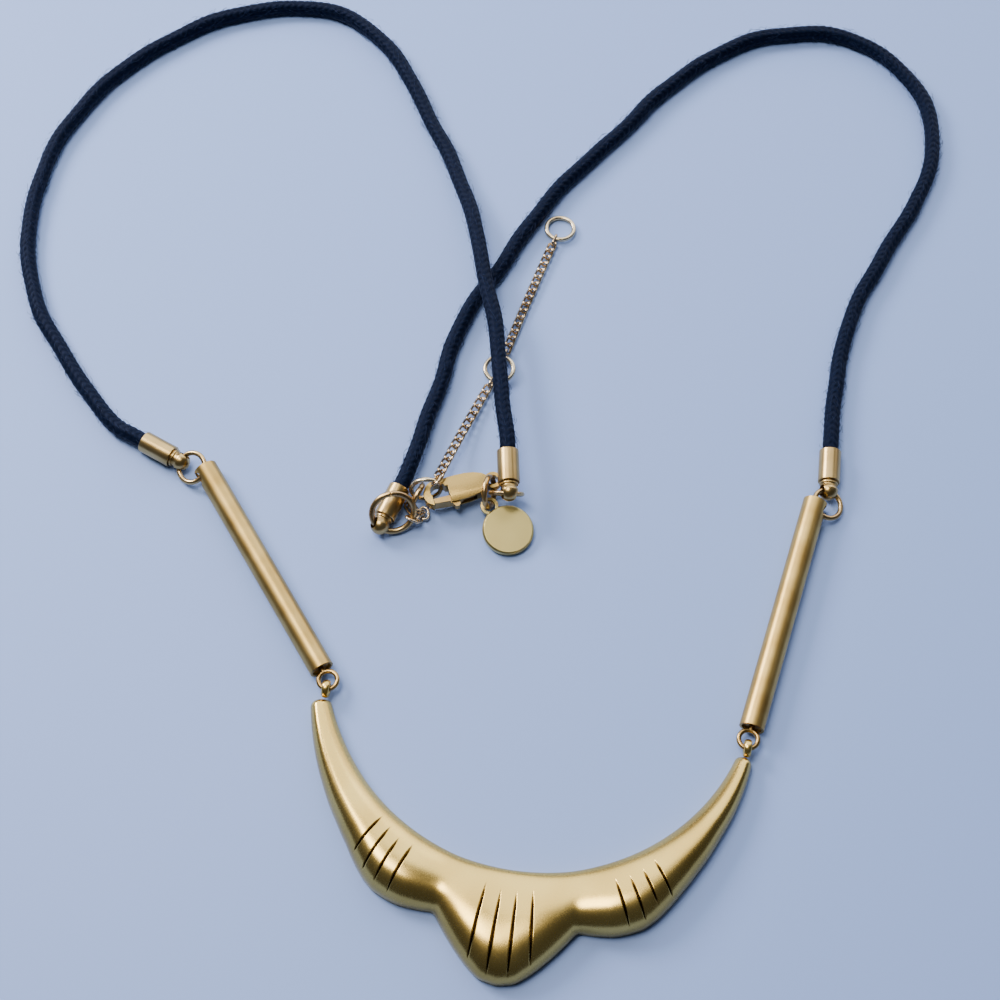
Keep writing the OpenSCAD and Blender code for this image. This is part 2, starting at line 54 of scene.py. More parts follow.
# %% [markdown]
# ## The camera
# The necklace lies on a table and is looked at from the pendant's side, from well above the table.
# A camera could be placed by eye, but the place is better worked out: the crescent's inner edge is a
# circle and the tag is round, so the shape of their ellipses gives the height of the view.

# %% Place the camera
CAMERA_AT = Vector((9.6, -68.4, 278.6)) * MM
LOOKS_AT = Vector((-10.5, 66.0, 0.0)) * MM
LENS_MM = 72.0
SENSOR_MM = 36.0
NEAREST_M = 0.01
FARTHEST_M = 20.0

camera_data = bpy.data.cameras.new("camera")
camera_data.lens = LENS_MM
camera_data.sensor_width = SENSOR_MM
camera_data.clip_start = NEAREST_M
camera_data.clip_end = FARTHEST_M
camera = bpy.data.objects.new("camera", camera_data)
bpy.context.scene.collection.objects.link(camera)
camera.location = CAMERA_AT
camera.rotation_euler = (LOOKS_AT - CAMERA_AT).to_track_quat("-Z", "Y").to_euler()
bpy.context.scene.camera = camera
print("camera height above the table, mm:", round(CAMERA_AT.z / MM, 1))

# %% [markdown]
# ## The line of each cord
# Each cord is a length of braided cotton that leaves one metal end cap, swings round in a loop and
# ends in another cap. A line through a few given points is enough to say where it lies. The
# points are the frame's own, so that the soft cord stays where the plain tube of the frame is. A
# smooth curve is drawn through them and cut into short equal steps, because the braid that follows
# needs an even spacing.

# %% Cord routes and end caps
CORD_D = 2.6
TABLE_GAP = 0.02
REST_Z = CORD_D / 2 + TABLE_GAP
# Depth of a cap's bore, and length of cord that leaves the cap straight
BORE_L = 3.4
LEAD = 2.5
POINTS_PER_SPAN = 24
# Columns: mouth, heading, dip
CAP_FRONT_LEFT = ((-66.86, 67.02, 1.72), -21.8, 0)
CAP_FRONT_RIGHT = ((39.3, 81.06, 1.72), -88.1, 0)
CAP_BACK_LEFT = ((-10.18, 71.84, 5.51), -79.6, 2.7)
CAP_BACK_RIGHT = ((-25.99, 64.76, 2.06), -106, 1.7)
ROUTE_LEFT = [
    (-72.4, 69.7, REST_Z), (-79.0, 75.8, REST_Z), (-85.4, 83.2, REST_Z), (-89.9, 89.5, REST_Z),
    (-93.0, 96.5, REST_Z), (-95.0, 105, REST_Z), (-95.3, 114.5, REST_Z), (-93.4, 124, REST_Z),
    (-89.4, 133.5, REST_Z), (-83.4, 141.5, REST_Z), (-75.9, 148.3, REST_Z), (-68, 152.8, REST_Z),
    (-60.8, 155, REST_Z), (-53.8, 155.2, REST_Z), (-47.6, 152.9, REST_Z), (-42, 148.2, REST_Z),
    (-37, 141.9, REST_Z), (-32.6, 134.6, REST_Z), (-28.4, 127.5, 1.7), (-24.7, 120.4, 2.6),
    (-21.5, 112.7, 3.7), (-18.9, 104.3, 4.4), (-16.4, 96.8, 4.8), (-14.1, 88.9, 5.1),
    (-12.4, 81, 5.4)]
ROUTE_RIGHT = [
    (39.3, 91.7, REST_Z), (39.9, 101, REST_Z), (41.7, 109.6, REST_Z), (44.9, 118.2, REST_Z),
    (48.9, 127.5, REST_Z), (51.5, 136.5, REST_Z), (51.7, 145.3, REST_Z), (48.6, 153.5, REST_Z),
    (42.2, 159.9, REST_Z), (34.8, 162.7, REST_Z), (27.3, 162.4, REST_Z), (19.4, 159.6, REST_Z),
    (12, 153.8, REST_Z), (5.7, 146.4, REST_Z), (0.6, 138.8, REST_Z), (-4.4, 131.3, REST_Z),
    (-9, 124.3, REST_Z), (-12.8, 116.6, REST_Z), (-16.5, 107.6, REST_Z), (-20, 99.6, REST_Z),
    (-21.9, 91.8, REST_Z), (-22.9, 83.9, 1.45), (-24.1, 75.3, 1.9)]


def behind(cap, distance):
    """A point on a cap's axis, at a distance behind its mouth, in millimetres."""
    mouth, heading, dip = cap
    h, d = math.radians(heading), math.radians(dip)
    axis = np.array([math.cos(h) * math.cos(d), math.sin(h) * math.cos(d), -math.sin(d)])
    return np.array(mouth) - distance * axis


def smooth_line(points, step):
    """A smooth curve through the points, as points at equal steps along it."""
    p = np.array([points[0]] + list(points) + [points[-1]], float)
    t = np.linspace(0, 1, POINTS_PER_SPAN, endpoint=False)[:, None]
    parts = []
    for a, b, c, d in zip(p[:-3], p[1:-2], p[2:-1], p[3:]):
        parts.append(0.5 * (2 * b + (c - a) * t + (2 * a - 5 * b + 4 * c - d) * t ** 2
                            + (3 * b - a - 3 * c + d) * t ** 3))
    line = np.vstack(parts + [p[-1:]])
    run = np.concatenate([[0], np.cumsum(np.linalg.norm(np.diff(line, axis=0), axis=1))])
    even = np.linspace(0, run[-1], int(round(run[-1] / step)) + 1)
    return np.stack([np.interp(even, run, line[:, k]) for k in range(3)], axis=1), run[-1]


def cord_line(start_cap, route, end_cap, step):
    """The middle line of a cord, from inside one cap to inside the other, and its length."""
    ends = [behind(start_cap, -BORE_L), behind(start_cap, 0), behind(start_cap, LEAD)]
    far = [behind(end_cap, LEAD), behind(end_cap, 0), behind(end_cap, -BORE_L)]
    return smooth_line(ends + list(route) + far, step)


for name, parts in (("left", (CAP_FRONT_LEFT, ROUTE_LEFT, CAP_BACK_LEFT)),
                    ("right", (CAP_FRONT_RIGHT, ROUTE_RIGHT, CAP_BACK_RIGHT))):
    print(name, "cord, mm:", round(cord_line(*parts, 1.0)[1], 1))

# %% [markdown]
# ## The braid
# The cord is a round braid of sixteen cotton yarns, eight winding each way, and every yarn goes over
# two others and then under two. It could be drawn as sixteen separate tubes, but at 2.6 mm across the
# yarns press flat on each other, so a single skin that rises over each yarn shows the same thing
# with clean, closed faces. Two slanted sets of stripes give the yarns, and a slow wave along each
# yarn says where it is on top.

# %% Height of the braid
YARNS_EACH_WAY = 8
# Length in which a yarn winds once round the cord
TURN_L = 9.2
# Shares of the rise that are the yarn's own round back and its climb over the other yarns
BACK_SHARE, CLIMB_SHARE = 0.62, 0.38
BACK_CURVE = 0.94
# Keeps the numbers of the yarns that wind one way apart from those that wind the other way
OTHER_WAY = 40


def braid_height(angle, run):
    """Height of the skin, up to 1, and the top yarn's place across, place along and number."""
    a = YARNS_EACH_WAY * (angle / (2 * math.pi) + run / TURN_L)
    b = YARNS_EACH_WAY * (angle / (2 * math.pi) - run / TURN_L)
    across_a = 2 * (a - np.floor(a)) - 1
    across_b = 2 * (b - np.floor(b)) - 1
    over_a = np.cos(math.pi / 2 * (b - 0.5 + np.floor(a)))
    over_b = -np.cos(math.pi / 2 * (a - 0.5 + np.floor(b)))
    high_a = BACK_SHARE * np.sqrt(1 - BACK_CURVE * across_a ** 2) + CLIMB_SHARE * over_a
    high_b = BACK_SHARE * np.sqrt(1 - BACK_CURVE * across_b ** 2) + CLIMB_SHARE * over_b
    top_is_a = high_a > high_b
    return (np.maximum(high_a, high_b), np.where(top_is_a, across_a, across_b),
            np.where(top_is_a, b, a), np.where(top_is_a, np.floor(a), np.floor(b) + OTHER_WAY))


print("yarns:", 2 * YARNS_EACH_WAY, "mm between crossings:", round(TURN_L / YARNS_EACH_WAY, 2))

# %% A closed grid
SAME_POINT_M = 1e-7


def grid_mesh(name, columns, rows, place):
    """A grid whose points are placed by a function of (column, row), with its seam and ends closed."""
    bm = bmesh.new()
    bmesh.ops.create_grid(bm, x_segments=columns, y_segments=rows, size=0.5)
    mesh = bpy.data.meshes.new(name)
    bm.to_mesh(mesh)
    bm.free()
    flat = np.empty(len(mesh.vertices) * 3)
    mesh.vertices.foreach_get("co", flat)
    flat = flat.reshape(-1, 3)
    column = np.rint((flat[:, 0] + 0.5) * columns).astype(int)
    row = np.rint((flat[:, 1] + 0.5) * rows).astype(int)
    points, attributes = place(column, row)
    mesh.vertices.foreach_set("co", points.ravel())
    for key, values in attributes.items():
        layer = mesh.attributes.new(key, "FLOAT", "POINT")
        layer.data.foreach_set("value", values)
    bm = bmesh.new()
    bm.from_mesh(mesh)
    bmesh.ops.remove_doubles(bm, verts=bm.verts, dist=SAME_POINT_M)
    bmesh.ops.holes_fill(bm, edges=[e for e in bm.edges if e.is_boundary], sides=0)
    bmesh.ops.recalc_face_normals(bm, faces=bm.faces)
    bm.to_mesh(mesh)
    bm.free()
    return mesh


def add_piece(name, mesh, body):
    """A smooth-shaded object in the scene that rides on a body of the frame."""
    piece = bpy.data.objects.new(name, mesh)
    bpy.context.scene.collection.objects.link(piece)
    mesh.shade_smooth()
    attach(piece, body)
    return piece


print("points of a seam that become one lie within, mm:", round(SAME_POINT_M / MM, 6))

# %% [markdown]
# ## Slow waves and loose fibres
# A soft cord never lies quite evenly, so slow waves push it a little sideways and change its
# thickness. Cotton is spun from short fibres, and their loose ends stand off the braid as a fine nap
# that softens its outline against the table. A hair system could draw them, but a curve with a small
# bevel turns each fibre into a few real faces, which stay in the mesh. Each cord has its own
# seed, so that the nap comes out the same every time.

# %% Waves along a cord
# Lengths of the waves in a cord, and the length beside a cap over which they grow
WAVES_MM = (11.9, 18.7, 31.3)
CALM_MM = 9.0


def line_frame(line):
    """Direction, sideways and upward unit vectors at each point of a line."""
    along = np.gradient(line, axis=0)
    along /= np.linalg.norm(along, axis=1)[:, None]
    side = np.cross([0.0, 0.0, 1.0], along)
    side /= np.linalg.norm(side, axis=1)[:, None]
    return along, side, np.cross(along, side)


def uneven(run, length, seed):
    """Slow waves along a cord, from -1 to 1, that die away at its caps."""
    draw = random.Random(seed)
    waves = sum(np.sin(2 * math.pi * (run / wave_mm + draw.random())) for wave_mm in WAVES_MM)
    ends = np.clip((np.minimum(run, length - run) - BORE_L) / CALM_MM, 0, 1)
    return waves / len(WAVES_MM) * ends


print("waves in a cord, mm long:", WAVES_MM)

# %% Nap
FIBRES = 1400
FIBRE_R = 0.024
FIBRE_STEPS = 3
ROOT_DEPTH = 0.12
# Ranges that each fibre is drawn from: place round the cord in half turns, height off the skin,
# length along the cord, and in radians its bend and its turn round the cord
FIBRE_PLACE = (-0.35, 1.35)
FIBRE_LIFT = (0.08, 0.6)
FIBRE_REACH = (0.3, 1.7)
FIBRE_BEND = (1.3, 2.1)
FIBRE_TURN = (-0.5, 0.5)


def make_nap(name, line, length, seed):
    """Loose fibre ends that stand off the cord: fine bent wires, each rooted under the skin."""
    draw = random.Random(seed)
    along, side, up = line_frame(line)
    curve = bpy.data.curves.new(name, "CURVE")
    curve.dimensions = "3D"
    curve.bevel_depth = FIBRE_R * MM
    curve.bevel_resolution = 0
    curve.use_fill_caps = True
    for _ in range(FIBRES):
        i = int(len(line) * draw.uniform(BORE_L / length, 1 - BORE_L / length))
        angle = draw.uniform(*FIBRE_PLACE) * math.pi
        way = draw.choice((-1, 1))
        lift = draw.uniform(*FIBRE_LIFT)
        turn = draw.uniform(*FIBRE_TURN)
        reach = draw.uniform(*FIBRE_REACH)
        spline = curve.splines.new("POLY")
        spline.points.add(FIBRE_STEPS)
        for k, point in enumerate(spline.points):
            u = k / FIBRE_STEPS
            rise = (lift + ROOT_DEPTH) * math.sin(u * draw.uniform(*FIBRE_BEND))
            out = CORD_D / 2 - ROOT_DEPTH + rise
            a = angle + turn * u
            outward = math.cos(a) * side[i] + math.sin(a) * up[i]
            at = line[i] + way * reach * u * along[i] + out * outward
            # No fibre may reach into the table
            at[2] = max(at[2], 2 * FIBRE_R)
            point.co = (*(at * MM), 1)
    tubes = bpy.data.objects.new(name, curve)
    mesh = bpy.data.meshes.new_from_object(tubes)
    bpy.data.objects.remove(tubes)
    bpy.data.curves.remove(curve)
    mesh.name = name
    nap = add_piece(name, mesh, "necklace")
    return nap


print("fibres on each cord:", FIBRES, "thickness of one, mm:", round(2 * FIBRE_R, 3))

# %% Braid both cords
# Points round a cord, steps along it, and how far the skin sinks between two yarns
AROUND = 64
CORD_STEP = 0.2
YARN_RISE = 0.2
SIDEWAYS_MM = 0.2
THICKER = 0.035
THICKER_SEED = 50


def make_cord(name, node, start_cap, route, end_cap, seed):
    """A braided cord with its nap, from one cap to another. Returns both pieces."""
    line, length = cord_line(start_cap, route, end_cap, CORD_STEP)
    run = np.linspace(0, length, len(line))
    line = line + SIDEWAYS_MM * uneven(run, length, seed)[:, None] * line_frame(line)[1]
    # The waves are lowered by half, so that the cord is seldom thicker than its nominal size
    fuller = 1 + THICKER * (uneven(run, length, seed + THICKER_SEED) - 0.5)
    side, up = line_frame(line)[1:]

    def place(column, row):
        angle = 2 * math.pi * (row % AROUND) / AROUND
        high, across, yarn_run, yarn = braid_height(angle, run[column])
        radius = CORD_D / 2 * fuller[column] - YARN_RISE * (1 - high)
        out = np.cos(angle)[:, None] * side[column] + np.sin(angle)[:, None] * up[column]
        points = (line[column] + radius[:, None] * out) * MM
        return points, {"across": across, "yarn_run": yarn_run, "yarn": yarn}

    mesh = grid_mesh(name, len(line) - 1, AROUND, place)
    cord = add_piece(name, mesh, "necklace")
    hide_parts(node)
    nap = make_nap(name + "_nap", line, length, seed)
    print(name, "mm long:", round(length, 1), "faces:", len(mesh.polygons),
          "nap:", len(nap.data.polygons))
    return cord, nap


cord_left, nap_left = make_cord("braided_cord_left", "cord_left", CAP_FRONT_LEFT, ROUTE_LEFT,
                                CAP_BACK_LEFT, seed=11)
cord_right, nap_right = make_cord("braided_cord_right", "cord_right", CAP_FRONT_RIGHT, ROUTE_RIGHT,
                                  CAP_BACK_RIGHT, seed=12)

# %% [markdown]
# ## The cast pendant
# The real pendant is cast in one piece: a crescent with a rounded crest near its outer edge, three
# lobes, a flat back and twelve engraved lines. It could be sculpted, but every cross-section has the
# same form, so a grid does it better: one direction runs along the crescent, the other runs round the
# section, over the crest and back underneath. The sizes are the frame's own. The outline is smoothed
# a little, because casting and tumbling leave no sharp corner.

# %% Outline of the crescent
# Centre and radius of the inner circle, how much further out the inner edge lies at the middle,
# and the angle from the middle to each tip
PENDANT_Y = 39.5
INNER_R = 31.2
INNER_DROP = 0.4
SPAN = 72.4
CROWN_H = 4.8
# The left arm is slightly wider than the right one and ends in a tip that bends outwards. Each
# change starts at an angle and grows over a further angle.
LEFT_OUT, RIGHT_OUT, TIP_OUT = 0.35, -0.2, 0.55
ARM_FROM_A, ARM_OVER_A = 38, 14
BEND_FROM_A, BEND_OVER_A = 48, 24
# The left lobe and its grooves lean: inside they lie nearer to the tip, outside nearer to the middle
LEAN_A, LEAN_AT_A, LEAN_WIDTH_A, LEAN_PIVOT = 1.7, -30, 8, 0.6
# Columns: angle, outer radius, height of the crown
OUTLINE = np.array([
    [0, 47.8, 1.0], [3.2, 47.3, 1.0], [5.6, 46.0, 0.99], [8.5, 44.2, 0.96], [11.3, 42.4, 0.9],
    [13.8, 40.8, 0.83], [14.8, 40.2, 0.81], [17, 40.7, 0.85], [19, 41.1, 0.9], [21.7, 41.6, 0.96],
    [24.7, 41.8, 0.99], [27.7, 41.8, 1.0], [30.5, 41.3, 1.0], [34, 40.4, 0.98], [38, 39.3, 0.95],
    [43, 38.2, 0.9], [52, 36.6, 0.8], [63, 35.1, 0.66], [73, 33.8, 0.5]])
# Steps and reach of the smoothed outline, and how far each of its columns is smoothed
FINE_A = 0.1
PAST_TIP_A = 80
RADIUS_SPREAD_A, CROWN_SPREAD_A = 0.5, 1.3


def smoothed(column, spread):
    """A column of OUTLINE against angle, with its corners rounded over about the spread."""
    angles = np.arange(-PAST_TIP_A, PAST_TIP_A + FINE_A / 2, FINE_A)
    values = np.interp(np.abs(angles), OUTLINE[:, 0], OUTLINE[:, column])
    reach = np.arange(-3 * spread, 3 * spread + FINE_A / 2, FINE_A)
    weights = np.exp(-0.5 * (reach / spread) ** 2)
    padded = np.pad(values, len(reach) // 2, mode="edge")
    return angles, np.convolve(padded, weights / weights.sum(), mode="valid")[:len(angles)]


SMOOTH_RADIUS = smoothed(1, RADIUS_SPREAD_A)
SMOOTH_CROWN = smoothed(2, CROWN_SPREAD_A)


def tip_bend(a):
    """How far the left tip bends outwards."""
    return TIP_OUT * np.clip((-a - BEND_FROM_A) / BEND_OVER_A, 0, 1) ** 2


def inner_radius(a):
    """Distance of the inner edge from the inner circle's centre."""
    return INNER_R + INNER_DROP * np.cos(np.radians(a)) + tip_bend(a)


def outer_radius(a):
    """Distance of the outer edge from the inner circle's centre."""
    grown = np.clip((np.abs(a) - ARM_FROM_A) / ARM_OVER_A, 0, 1)
    arm = np.where(a < 0, LEFT_OUT, RIGHT_OUT) * grown
    return np.interp(a, *SMOOTH_RADIUS) + arm + tip_bend(a)


def crown_height(a):
    """Height of the crest."""
    return CROWN_H * np.interp(a, *SMOOTH_CROWN)


def lean(a, t):
    """How many degrees a point of the left lobe is moved, inside towards the tip."""
    near = np.exp(-((a - LEAN_AT_A) / LEAN_WIDTH_A) ** 2)
    return np.where(a > 0, 0, -LEAN_A * near * (LEAN_PIVOT - t))


print("width at the middle, mm:", round(float(outer_radius(0.0) - inner_radius(0.0)), 1),
      "height of the crest, mm:", round(float(crown_height(0.0)), 1))

# %% Height of the surface
RIM_H = 0.9
# Share of the crown's height that the inner wall has, place of the crest between the inner and the
# outer edge, and roundness of the rise to it
INNER_WALL = 0.35
CREST_AT = 0.62
CROWN_POWER = 0.6


def crown_rise(a, t):
    """Height of the surface: from the inner wall up to the crest and down to the outer rim."""
    crown = crown_height(a)
    wall = INNER_WALL * crown
    inside = wall + (crown - wall) * np.sin(np.pi / 2 * np.clip(t / CREST_AT, 0, 1)) ** CROWN_POWER
    fall = np.clip((t - CREST_AT) / (1 - CREST_AT), 0, 1)
    return np.where(t < CREST_AT, inside, RIM_H + (crown - RIM_H) * np.sqrt(1 - fall ** 2))


print("height of the inner wall at the middle, mm:", round(float(crown_rise(0.0, 0.0)), 1))

# %% Engraved grooves
# Columns: angle, start and end of the groove between the inner and the outer edge
GROOVES = [(-35, 0.22, 0.92), (-31.5, 0.24, 0.95), (-28.1, 0.27, 0.92), (-24.7, 0.22, 0.95),
           (-5.5, 0.19, 0.95), (-1.8, 0.21, 0.96), (1.8, 0.2, 0.96), (5.5, 0.2, 0.93),
           (24.7, 0.28, 0.95), (28.1, 0.31, 0.94), (31.5, 0.31, 0.86), (35, 0.28, 0.93)]
GROOVE_DEPTH = 0.38
GROOVE_HALF_A = 0.36
# Shares of the way across in which a groove deepens and ends
GROOVE_IN, GROOVE_OUT = 0.16, 0.05
# Shares of a groove's width that it has all along and that it gains in the middle
GROOVE_THIN, GROOVE_SWELL = 0.55, 0.45
# Keeps a groove's width above zero, because the depth is worked out by dividing by it
HAIR_A = 1e-6


def groove_share(a, t):
    """Depth of the engraving from 0 to 1: a cut that swells in the middle and thins at its ends."""
    share = np.zeros_like(a)
    for angle, start, end in GROOVES:
        along = np.clip((t - start) / (end - start), 0, 1)
        swell = np.clip(np.minimum((t - start) / GROOVE_IN, (end - t) / GROOVE_OUT), 0, 1)
        wide = GROOVE_THIN + GROOVE_SWELL * np.sin(np.pi * along)
        width = GROOVE_HALF_A * wide * np.sqrt(swell) + HAIR_A
        share = np.maximum(share, np.clip(1 - np.abs(a - angle) / width, 0, 1) * swell)
    return share


print("grooves:", len(GROOVES), "widest, mm:", round(2 * math.radians(GROOVE_HALF_A) * INNER_R, 2))

# %% Sections along the crescent
# Steps between sections, the least gap between two of them, and the places of those at a groove, in
# half widths of the groove
STATION_A = 0.4
CLEAR_A = 0.09
GROOVE_STEPS = (-1.3, -1, -0.66, -0.33, 0, 0.33, 0.66, 1, 1.3)
# Radius of a tip's rounding, the size of its smallest section, and the sections' angles from the tip
TIP_ROUND_MM = 1.1
TIP_SMALLEST = 0.12
TIP_STEPS = (0.04, 0.12, 0.25, 0.45, 0.7, 1.0, 1.3, 1.6)
TOP_ROWS = 44
BACK_ROWS = 6


def pendant_stations():
    """Angles of the sections: even steps, with closer ones at the grooves and at the tips."""
    even = np.arange(-SPAN, SPAN + STATION_A / 2, STATION_A)
    cuts = np.array([g[0] + k * GROOVE_HALF_A for g in GROOVES for k in GROOVE_STEPS])
    far = np.min(np.abs(even[:, None] - cuts[None, :]), axis=1) > CLEAR_A
    tips = np.array([side * (SPAN - step) for side in (-1, 1) for step in TIP_STEPS])
    return np.unique(np.round(np.concatenate([even[far], cuts, tips]), 4))


def tip_share(a):
    """Size of the section from 1 down to nearly 0, falling on a quarter circle at each tip."""
    left = np.clip(np.radians(SPAN - np.abs(a)) * INNER_R / TIP_ROUND_MM, 0, 1)
    return np.maximum(np.sqrt(1 - (1 - left) ** 2), TIP_SMALLEST)


def pendant_section():
    """Places round the section as (t, share of the height): back, inner wall, top, outer rim."""
    back = [(1 - k / BACK_ROWS, 0.0) for k in range(BACK_ROWS + 1)]
    wall = [(0.0, 0.5)]
    top = [(0.5 - 0.5 * math.cos(math.pi * k / TOP_ROWS), 1.0) for k in range(TOP_ROWS + 1)]
    rim = [(1.0, 0.5), (1.0, 0.0)]
    return np.array(back + wall + top + rim)


print("sections:", len(pendant_stations()), "points round each:", len(pendant_section()))

# %% Cast the pendant
# Rounding of the back's edges, which lie on the table and turn by more than this angle
BACK_ROUND_MM = 0.16
BACK_EDGE_A = 60
ON_TABLE_M = 1e-6
# Strength of the dark patina in the grooves and of the darkening at the foot of the walls, which is
# partly patina and partly painted shade; where the foot starts between the inner and the outer edge,
# and the share over which the darkening grows
GROOVE_STAIN, FOOT_PATINA_AND_SHADE = 1.6, 0.3
FOOT_FROM, FOOT_OVER = 0.86, 0.12


def round_edges(bm, chosen, width_mm, segments=2):
    """Rounds the chosen edges with a bevel."""
    bmesh.ops.bevel(bm, geom=chosen, offset=width_mm * MM, offset_type="OFFSET", segments=segments,
                    profile=0.5, affect="EDGES", clamp_overlap=True, material=-1)


def pendant_mesh():
    """The crescent as a closed grid, with its back's edges rounded."""
    stations, section = pendant_stations(), pendant_section()

    def place(column, row):
        a, t = stations[column], section[row, 0]
        leaning = a + lean(a, t)
        angle = np.radians(leaning)
        share = tip_share(a)
        inner, outer = inner_radius(leaning), outer_radius(leaning)
        r = inner + (0.5 + (t - 0.5) * share) * (outer - inner)
        on_top = (row > BACK_ROWS + 1) & (row <= BACK_ROWS + 2 + TOP_ROWS)
        cut = np.where(on_top, groove_share(a, t), 0)
        z = section[row, 1] * crown_rise(a, t) * share - GROOVE_DEPTH * cut
        points = np.stack([r * np.sin(angle), PENDANT_Y - r * np.cos(angle), z], axis=1) * MM
        # Darkening on the walls, the back and the outer foot of the top: partly patina, partly painted
        # shade
        foot = FOOT_PATINA_AND_SHADE * np.where(on_top, np.clip((t - FOOT_FROM) / FOOT_OVER, 0, 1), 1)
        return points, {"groove": np.clip(GROOVE_STAIN * cut, 0, 1), "foot": foot}

    mesh = grid_mesh("cast_pendant", len(stations) - 1, len(section) - 1, place)
    bm = bmesh.new()
    bm.from_mesh(mesh)
    back = [e for e in bm.edges if max(v.co.z for v in e.verts) < ON_TABLE_M
            and e.calc_face_angle(0) > math.radians(BACK_EDGE_A)]
    round_edges(bm, back, BACK_ROUND_MM, segments=3)
    bm.to_mesh(mesh)
    bm.free()
    return mesh


PENDANT_MESH = pendant_mesh()
print("pendant faces:", len(PENDANT_MESH.polygons))

# %% [markdown]
# ## Rings, eyes and the seam of a jump ring
# A ring is a round wire bent into a circle. A torus primitive would do, but a section that is spun
# with the spin operator can also be an oval or a wire with small flats. A real jump ring is cut and
# bent shut, so its spin stops just short of a full turn and the two faces almost meet. Soldered eyes
# and the extender's rings have no such cut. Each ring is turned to the pose that the frame's own ring
# has, found from the spread of that ring's points.

# %% Spin a ring
RING_STEPS = 84
SECTION_STEPS = 18
SEAM_MM = 0.05
SEAM_ROUND_MM = 0.04


def ring_mesh(name, major, half_in, half_up, flat=1.0, seam_at=None):
    """A ring about Z. flat below 1 squares the section, seam_at is the angle of the cut."""
    bm = bmesh.new()
    for k in range(SECTION_STEPS):
        a = 2 * math.pi * k / SECTION_STEPS
        x = half_in * math.copysign(abs(math.cos(a)) ** flat, math.cos(a))
        z = half_up * math.copysign(abs(math.sin(a)) ** flat, math.sin(a))
        bm.verts.new(((major + x) * MM, 0, z * MM))
    bm.verts.ensure_lookup_table()
    loop = [bm.edges.new((bm.verts[k], bm.verts[(k + 1) % SECTION_STEPS]))
            for k in range(SECTION_STEPS)]
    turn = 2 * math.pi - (SEAM_MM / major if seam_at is not None else 0)
    bmesh.ops.spin(bm, geom=list(bm.verts) + loop, cent=(0, 0, 0), axis=(0, 0, 1), dvec=(0, 0, 0),
                   angle=turn, steps=RING_STEPS, use_merge=seam_at is None, use_duplicate=False)
    if seam_at is not None:
        made = bmesh.ops.holes_fill(bm, edges=[e for e in bm.edges if e.is_boundary], sides=0)
        round_edges(bm, list({e for f in made["faces"] for e in f.edges}), SEAM_ROUND_MM)
        bmesh.ops.rotate(bm, verts=bm.verts, cent=(0, 0, 0), matrix=Matrix.Rotation(seam_at, 3, "Z"))
    bmesh.ops.recalc_face_normals(bm, faces=bm.faces)
    mesh = bpy.data.meshes.new(name)
    bm.to_mesh(mesh)
    bm.free()
    return mesh


print("sections of a ring:", RING_STEPS, "points round its wire:", SECTION_STEPS)

# %% Place the rings


def pose_of(node_name):
    """Centre and axes of a frame ring, with the axis of least spread as Z."""
    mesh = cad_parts[node_name].data
    flat = np.empty(len(mesh.vertices) * 3)
    mesh.vertices.foreach_get("co", flat)
    points = flat.reshape(-1, 3)
    centre = (points.max(axis=0) + points.min(axis=0)) / 2
    axes = np.linalg.eigh(np.cov((points - centre).T))[1]
    z = Vector(axes[:, 0]) * (1 if axes[2, 0] >= 0 else -1)
    x = Vector((1, 0, 0)) - z * z.x
    x.normalize()
    turn = Matrix((x, z.cross(x), z)).transposed().to_4x4()
    return Matrix.Translation(Vector(centre)) @ turn


def placed_ring(name, node_name, mesh):
    """A ring piece that takes the place and the pose of a ring of the frame."""
    mesh.transform(pose_of(node_name))
    ring = add_piece(name, mesh, "necklace")
    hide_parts(node_name)
    return ring


# Columns: node, centreline radius, wire radius, angle of the cut in degrees
JUMP_RINGS = [("ring_front_left", 2.3, 0.4, 200), ("ring_front_right", 2.3, 0.4, 250),
              ("ring_cap", 2.45, 0.36, 20), ("ring_clasp", 2.3, 0.46, 75),
              ("ring_back", 3.25, 0.47, 100), ("ring_chain", 1.9, 0.41, 160)]
EXTENDER_RINGS = ["extender_ring_inner", "extender_ring_middle", "extender_ring_end"]
# Columns: centreline radius, half width, half height, power that flattens the section
BAND = (2.265, 0.345, 0.38, 0.85)
pieces = {}
for node_name, major, wire, cut in JUMP_RINGS:
    mesh = ring_mesh(node_name + "_wire", major, wire, wire, 1.0, math.radians(cut))
    pieces[node_name] = placed_ring(node_name + "_wire", node_name, mesh)
for node_name in EXTENDER_RINGS:
    mesh = ring_mesh(node_name + "_band", *BAND)
    pieces[node_name] = placed_ring(node_name + "_band", node_name, mesh)
print("rings:", sorted(pieces))

# %% Solder the eyes to the pendant
# The same four values as a band's, and where the eyes stand at each side of the middle
EYE = (0.985, 0.365, 0.56, 0.85)
EYE_X, EYE_Y, EYE_Z = 31.1, 30.75, 1.85
eyes = []
for side in (-1, 1):
    eye = ring_mesh("eye", *EYE)
    eye.transform(Matrix.Translation(Vector((side * EYE_X, EYE_Y, EYE_Z)) * MM)
                  @ Matrix.Rotation(math.pi / 2, 4, "Y"))
    eyes.append(eye)


def joined(name, meshes):
    """One mesh that holds the faces of several."""
    bm = bmesh.new()
    for mesh in meshes:
        bm.from_mesh(mesh)
    made = bpy.data.meshes.new(name)
    bm.to_mesh(made)
    bm.free()
    return made


pendant = add_piece("cast_pendant", joined("cast_pendant", [PENDANT_MESH] + eyes), "necklace")
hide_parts("pendant")
pieces["pendant"] = pendant
print("pendant with its eyes, faces:", len(pendant.data.polygons))

# %% [markdown]
# ## The chain
# Each link is a wire bent into a stadium and twisted, so that the links of a curb chain lie flat in
# each other. A link is a grid again: one direction goes round the stadium and the other round the
# wire. The rows of links follow the frame's own curves, with the same spacing, so that every link
# still passes through its neighbours and touches none.

